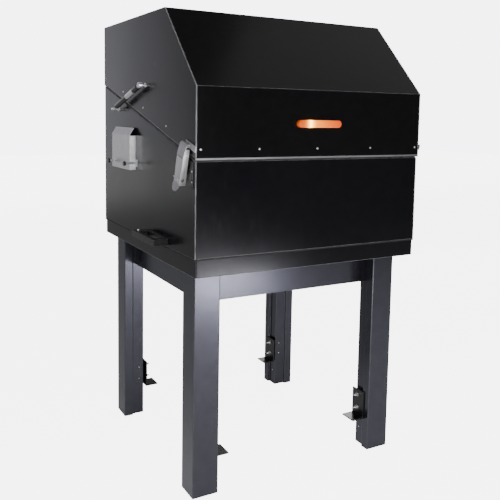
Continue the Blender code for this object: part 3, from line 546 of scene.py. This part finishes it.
def seam_shadow_strip():
    """Thin dark rubber strip in the seam between the tub and its plinth, on all four sides: a
    painted shadow of the seam.
    """
    proud, height, thick = 0.0003, 0.0042, 0.0008
    rings = []
    bm = bmesh.new()
    for inset in (0.0, thick):
        x, y0, y1 = TUB_HALF + proud - inset, TUB_FRONT - proud + inset, REAR + proud - inset
        for z in (TUB_BOTTOM - height, TUB_BOTTOM):
            corners = ((-x, y0), (x, y0), (x, y1), (-x, y1))
            rings.append([bm.verts.new((u, v, z)) for u, v in corners])
    outer_low, outer_high, inner_low, inner_high = rings
    for i in range(4):
        j = (i + 1) % 4
        bm.faces.new((outer_low[i], outer_low[j], outer_high[j], outer_high[i]))
        bm.faces.new((inner_low[i], inner_high[i], inner_high[j], inner_low[j]))
        bm.faces.new((outer_low[i], inner_low[i], inner_low[j], outer_low[j]))
        bm.faces.new((outer_high[i], outer_high[j], inner_high[j], inner_high[i]))
    piece(bm, "seam_shadow_strip", ROOT, "gasket", smooth=False)


def thumb_screw_knobs():
    """Black knurled knobs on the cable cover's screws."""
    ridges = 20
    stations = ((0.0071, 0.96), (0.0062, 1.04), (0.0006, 1.04), (-0.0003, 0.9))    # distance, scale
    for name in ("front", "rear"):
        low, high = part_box("thumb_screw_" + name)
        y, z = (low.y + high.y) / 2, (low.z + high.z) / 2
        radius = (high.z - low.z) / 2
        bm = bmesh.new()
        rings = []
        for from_end, scale in stations:
            ring = []
            for i in range(2 * ridges):
                angle = math.pi * i / ridges
                reach = radius * scale * (1.0 if i % 2 else 0.95)
                across, up = reach * math.cos(angle), reach * math.sin(angle)
                ring.append(bm.verts.new((low.x + from_end, y + across, z + up)))
            rings.append(ring)
        bm.faces.new(rings[0])
        bm.faces.new(rings[-1])
        for first, second in zip(rings, rings[1:]):
            for i in range(2 * ridges):
                j = (i + 1) % (2 * ridges)
                bm.faces.new((first[i], first[j], second[j], second[i]))
        piece(bm, "thumb_screw_knob_" + name, "thumb_screw_" + name, "black_hardware", smooth=False)


def cover_rivets():
    """Three small rivets along the cable cover's upper edge."""
    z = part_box("cable_cover")[1].z - 0.005
    bm = bmesh.new()
    for depth in (0.535, 0.570, 0.606):
        centre = (-HALF - 0.0075, FRONT + depth, z)
        add_turned(bm, dome(0.0026, 0.0016), centre, (-0.85, 0, 0.5), 12)
    piece(bm, "cover_rivets", ROOT, "zinc")


hood_rivets()
thumb_screw_knobs()
cover_rivets()
bracket_bolts()
leg_screws()
handle_screws()
latch_details()
strut_details()
seam_shadow_strip()


# ---------------------------------------------------------------- camera
def make_camera():
    """Camera in front of the enclosure, left of its middle, looking slightly down."""
    data = bpy.data.cameras.new("camera")
    data.sensor_width = 36.0
    data.lens = 48.64
    data.shift_x = -0.0145
    data.shift_y = -0.1354
    camera = bpy.data.objects.new("camera", data)
    bpy.context.scene.collection.objects.link(camera)
    yaw, pitch, roll = 0.5142, 0.0998, 0.0178
    aim = Matrix.Rotation(-yaw, 4, "Z") @ Matrix.Rotation(math.pi / 2 - pitch, 4, "X")
    aim = aim @ Matrix.Rotation(roll, 4, "Z")
    place = Matrix.Translation((-1.0960, FRONT - 1.5934, 1.0862))
    camera.matrix_world = place @ aim
    bpy.context.scene.camera = camera


# ---------------------------------------------------------------- stage and light
FLOOR_REACH = 30.0
BACKGROUND = 6.0             # radiance of the white surround, as seen directly
ROOM_DIM = 0.10              # radiance of the room that lights the object
ROOM_BRIGHT = 1.05           # and of its bright wall behind the object
FLOOR_DARK = 0.04            # radiance of the floor far in front of the object
FLOOR_BRIGHT = 0.42          # and of the lit floor in front of the object
FLOOR_BEHIND = 0.30          # share of that which is left beside and behind it
FLOOR_FAR = 0.55             # radiance it gains towards the bright wall


def make_floor():
    """Floor that is white where it is seen directly, and dimmer and uneven in reflections."""
    bm = bmesh.new()
    bmesh.ops.create_grid(bm, x_segments=4, y_segments=4, size=FLOOR_REACH / 2)
    mesh = bpy.data.meshes.new("floor")
    bm.to_mesh(mesh)
    bm.free()
    made, tree, shader = new_material("floor")
    shader.inputs["Base Color"].default_value = grey(0.50)
    shader.inputs["Roughness"].default_value = 0.7
    depth = split_axes(tree, object_place(tree))["Y"]
    near = spread(tree, depth, FLOOR_DARK, FLOOR_BRIGHT, start=-3.4, end=-2.0)
    behind = spread(tree, depth, 1.0, FLOOR_BEHIND, start=-0.2, end=0.5)
    far = spread(tree, depth, 0.0, FLOOR_FAR, start=4.6, end=7.2)
    lit = combine(tree, "ADD", combine(tree, "MULTIPLY", near, behind), far)
    seen = tree.nodes.new("ShaderNodeLightPath").outputs["Is Camera Ray"]
    added = spread(tree, seen, 0.0, BACKGROUND * 0.92, start=0.0, end=1.0)
    tree.links.new(combine_signed(tree, "ADD", lit, added), shader.inputs["Emission Strength"])
    shader.inputs["Emission Color"].default_value = grey(1.0)
    mesh.materials.append(made)
    floor = bpy.data.objects.new("floor", mesh)
    bpy.context.scene.collection.objects.link(floor)


def make_room():
    """White surround: dim overall, with a bright wall behind the object."""
    world = bpy.data.worlds.new("room")
    world.use_nodes = True
    tree = world.node_tree
    background = tree.nodes["Background"]
    source = tree.nodes.new("ShaderNodeTexCoord")
    facing = tree.nodes.new("ShaderNodeVectorMath")
    facing.operation = "DOT_PRODUCT"
    facing.inputs[1].default_value = (0.0, 1.0, 0.0)
    tree.links.new(source.outputs["Generated"], facing.inputs[0])
    lit = spread(tree, facing.outputs["Value"], ROOM_DIM, ROOM_BRIGHT, start=0.890, end=0.975)
    seen = tree.nodes.new("ShaderNodeLightPath").outputs["Is Camera Ray"]
    strength = tree.nodes.new("ShaderNodeMix")
    tree.links.new(seen, strength.inputs[0])
    tree.links.new(lit, strength.inputs[2])
    strength.inputs[3].default_value = BACKGROUND
    tree.links.new(strength.outputs[0], background.inputs["Strength"])
    background.inputs["Color"].default_value = (0.97, 0.97, 1.05, 1.0)
    bpy.context.scene.world = world


def softbox(name, place, target, width, height, watts, tint=(1.0, 1.0, 1.0)):
    """A rectangular light that faces a target."""
    data = bpy.data.lights.new(name, "AREA")
    data.shape = "RECTANGLE"
    data.size = width
    data.size_y = height
    data.energy = watts
    data.color = tint
    made = bpy.data.objects.new(name, data)
    made.location = place
    made.rotation_euler = (Vector(target) - Vector(place)).to_track_quat("-Z", "Y").to_euler()
    made.visible_camera = False
    bpy.context.scene.collection.objects.link(made)


def make_lights():
    """Soft boxes: general light, and those whose reflections shape the paint and the metal."""
    bluish, cool = (0.97, 0.97, 1.04), (0.98, 0.98, 1.0)
    softbox("overhead", (-1.2, 0.4, 3.4), (0.0, 0.0, 1.0), 1.6, 1.6, 12)
    softbox("left_fill", (-3.2, 0.3, 1.7), (-0.38, 0.0, 1.1), 1.6, 1.3, 12, bluish)
    softbox("low_front", (0.50, -1.85, 0.195), (-0.20, -0.33, 0.60), 0.46, 0.13, 5.2,
            (0.95, 0.95, 1.03))
    softbox("front_strip", (-0.52, -2.30, 0.95), (-0.40, 0.05, 0.96), 0.20, 0.60, 34.0, cool)
    softbox("top_right", (1.8, -1.0, 3.1), (0.1, -0.3, 1.2), 2.8, 2.6, 7.5)
    softbox("rear_right", (2.6, 2.6, 2.2), (0.1, 0.1, 0.9), 2.0, 2.0, 60)
    softbox("left_front", (-3.3, -1.2, 1.5), (-0.38, -0.20, 1.0), 0.9, 1.4, 17, bluish)


make_camera()
make_floor()
make_room()
make_lights()
